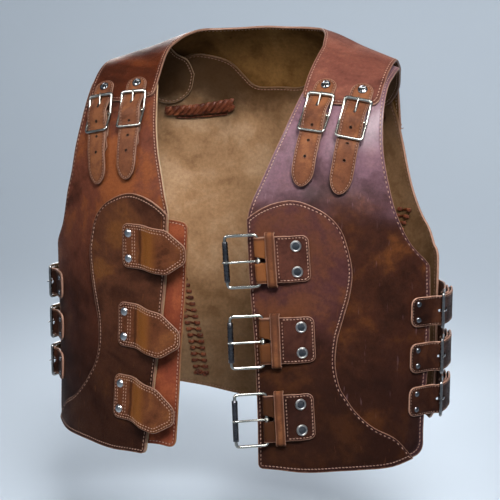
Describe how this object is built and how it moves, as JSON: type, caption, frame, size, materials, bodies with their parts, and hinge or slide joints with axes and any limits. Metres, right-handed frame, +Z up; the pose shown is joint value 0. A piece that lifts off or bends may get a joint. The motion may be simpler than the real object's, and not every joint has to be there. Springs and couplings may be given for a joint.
{
  "type": "leather vest",
  "caption": "Open-front thick leather vest with buckled shoulder straps, side straps and roller buckles at the front.",
  "frame": {"origin": "midway between the wearer's shoulders, on the line where they carry the vest", "axes": "+Z up, the wearer faces -Y, the wearer's left is +X"},
  "size_m": [0.5682, 0.3402, 0.5533],
  "materials": {
    "panel_leather": "waxed dark red-brown, mottled",
    "strap_leather": "smooth caramel brown",
    "fold_leather": "smooth tan orange",
    "placket_leather": "smooth red-brown",
    "trim_leather": "matt dark brown",
    "nickel": "polished",
    "roller_steel": "dark, worn"
  },
  "bodies": {
    "root": {"back": "panel_leather", "billet_1": "strap_leather", "billet_2": "strap_leather", "billet_3": "strap_leather", "braid_L": "trim_leather", "braid_R": "trim_leather", "chape_1": "fold_leather", "chape_2": "fold_leather", "chape_3": "fold_leather", "front_L": "panel_leather", "front_R": "panel_leather", "keeper_1": "strap_leather", "keeper_2": "strap_leather", "keeper_3": "strap_leather", "lacing_L": "trim_leather", "lacing_R": "trim_leather", "overlay_L": "panel_leather", "overlay_R": "panel_leather", "placket_R": "placket_leather", "shoulder_buckle_L_inner": "nickel", "shoulder_buckle_L_outer": "nickel", "shoulder_buckle_R_inner": "nickel", "shoulder_buckle_R_outer": "nickel", "shoulder_chape_L_inner": "strap_leather", "shoulder_chape_L_outer": "strap_leather", "shoulder_chape_R_inner": "strap_leather", "shoulder_chape_R_outer": "strap_leather", "shoulder_strap_L_inner": "strap_leather", "shoulder_strap_L_outer": "strap_leather", "shoulder_strap_R_inner": "strap_leather", "shoulder_strap_R_outer": "strap_leather", "side_buckle_L_1": "nickel", "side_buckle_L_2": "nickel", "side_buckle_L_3": "nickel", "side_buckle_R_1": "nickel", "side_buckle_R_2": "nickel", "side_buckle_R_3": "nickel", "side_chape_L_1": "strap_leather", "side_chape_L_2": "strap_leather", "side_chape_L_3": "strap_leather", "side_chape_R_1": "strap_leather", "side_chape_R_2": "strap_leather", "side_chape_R_3": "strap_leather", "side_strap_L_1": "strap_leather", "side_strap_L_2": "strap_leather", "side_strap_L_3": "strap_leather", "side_strap_R_1": "strap_leather", "side_strap_R_2": "strap_leather", "side_strap_R_3": "strap_leather", "yoke": "panel_leather"},
    "frame_1": {"buckle_frame_1": "nickel"},
    "prong_1": {"prong_1": "nickel"},
    "roller_1": {"roller_1": "roller_steel"},
    "frame_2": {"buckle_frame_2": "nickel"},
    "prong_2": {"prong_2": "nickel"},
    "roller_2": {"roller_2": "roller_steel"},
    "frame_3": {"buckle_frame_3": "nickel"},
    "prong_3": {"prong_3": "nickel"},
    "roller_3": {"roller_3": "roller_steel"}
  },
  "joints": [
    {"name": "frame_1_swing", "type": "hinge", "parent": "root", "child": "frame_1", "pos_m": [0.07073, -0.15851, -0.2626], "axis": [-0.0674, -0.0095, 0.9977], "range_deg": [-18, 70]},
    {"name": "prong_1_swing", "type": "hinge", "parent": "frame_1", "child": "prong_1", "pos_m": [0.07073, -0.15851, -0.2626], "axis": [-0.0674, -0.0095, 0.9977], "range_deg": [0, 45]},
    {"name": "roller_1_spin", "type": "hinge", "parent": "frame_1", "child": "roller_1", "pos_m": [0.03231, -0.1693, -0.2653], "axis": [-0.0674, -0.0095, 0.9977], "continuous": true},
    {"name": "frame_2_swing", "type": "hinge", "parent": "root", "child": "frame_2", "pos_m": [0.07798, -0.16126, -0.3631], "axis": [-0.0689, 0.0809, 0.9943], "range_deg": [-24, 65]},
    {"name": "prong_2_swing", "type": "hinge", "parent": "frame_2", "child": "prong_2", "pos_m": [0.07798, -0.16126, -0.3631], "axis": [-0.0689, 0.0809, 0.9943], "range_deg": [0, 45]},
    {"name": "roller_2_spin", "type": "hinge", "parent": "frame_2", "child": "roller_2", "pos_m": [0.04177, -0.17822, -0.36423], "axis": [-0.0689, 0.0809, 0.9943], "continuous": true},
    {"name": "frame_3_swing", "type": "hinge", "parent": "root", "child": "frame_3", "pos_m": [0.08697, -0.17169, -0.45895], "axis": [-0.0941, 0.143, 0.9852], "range_deg": [-30, 60]},
    {"name": "prong_3_swing", "type": "hinge", "parent": "frame_3", "child": "prong_3", "pos_m": [0.08697, -0.17169, -0.45895], "axis": [-0.0941, 0.143, 0.9852], "range_deg": [0, 45]},
    {"name": "roller_3_spin", "type": "hinge", "parent": "frame_3", "child": "roller_3", "pos_m": [0.05352, -0.19362, -0.45896], "axis": [-0.0941, 0.143, 0.9852], "continuous": true}
  ]
}
